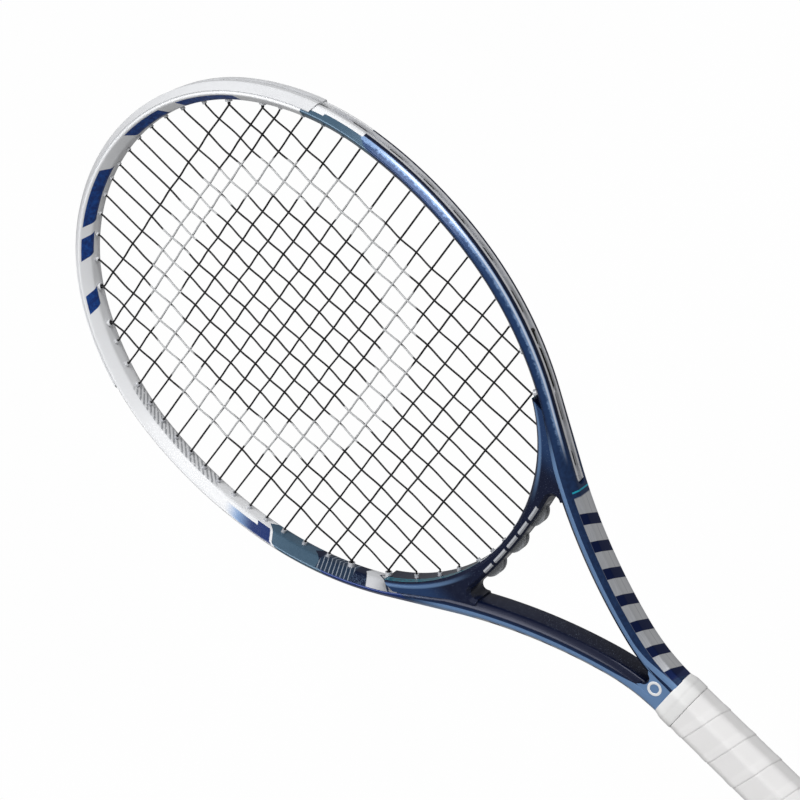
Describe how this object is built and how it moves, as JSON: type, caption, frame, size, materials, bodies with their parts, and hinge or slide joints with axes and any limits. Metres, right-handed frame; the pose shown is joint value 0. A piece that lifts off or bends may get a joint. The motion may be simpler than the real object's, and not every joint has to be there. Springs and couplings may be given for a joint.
{
  "type": "tennis racket",
  "caption": "Strung tennis racket with an oval head, open throat, woven string bed and an octagonal wrapped handle with a lidded butt cap.",
  "frame": {"origin": "middle of the length and width, at the level the back of the knob rests on", "axes": "+Y from the butt to the tip of the head, +X across the head to the right seen from the front, +Z out of the front of the string bed"},
  "size_m": [0.2734, 0.6858, 0.0338],
  "materials": {
    "racket_frame_paint": "glossy lacquer in white, light-blue metallic and near-black navy with plain block graphics over the moulded tube",
    "bridge_paint": "glossy near-black navy lacquer with small pale block marks",
    "bumper_plastic": "light grey-white bumper plastic with a faint moulded grain",
    "grommet_plastic": "silver-grey strip on the right arm, darkening at its ends",
    "grommet_plastic_left": "silver-grey strip on the left arm",
    "throat_grommet_plastic": "translucent grey plastic of the bridge's half-round bumps",
    "string_black": "black polymer string with a slight sheen",
    "grip_wrap": "white overlapped wrap with soft seams and fine grain",
    "tape_finish": "thin pale finishing tape",
    "collar_rubber": "pale grey-white rubber collar",
    "cap_plastic": "pale butt cap plastic",
    "door_plastic": "grey trap-door lid in the butt cap",
    "staple_steel": "bright steel staples under the grip",
    "pallet_foam": "hard grey-beige foam pallets under the grip",
    "core_foam": "pale foam core of the bridge",
    "plug_foam": "dark foam plugs in the hairpin ends"
  },
  "bodies": {
    "racket": {"frame_tube": "racket_frame_paint", "throat_bridge": "bridge_paint", "bridge_core": "core_foam", "bumper_guard": "bumper_plastic", "left_grommet_strip": "grommet_plastic_left", "right_grommet_strip": "grommet_plastic", "throat_grommet_strip": "throat_grommet_plastic", "main_string": "string_black", "cross_string": "string_black", "front_pallet": "pallet_foam", "back_pallet": "pallet_foam", "tube_end_plugs": "plug_foam", "butt_cap": "cap_plastic", "butt_cap_staples": "staple_steel", "base_grip": "grip_wrap", "finishing_tape": "tape_finish", "grip_collar": "collar_rubber"},
    "door": {"butt_cap_door": "door_plastic"}
  },
  "joints": [
    {"name": "door_pull", "type": "slide", "parent": "racket", "child": "door", "axis": [0, -1, 0], "range_m": [0, 0.012]}
  ]
}
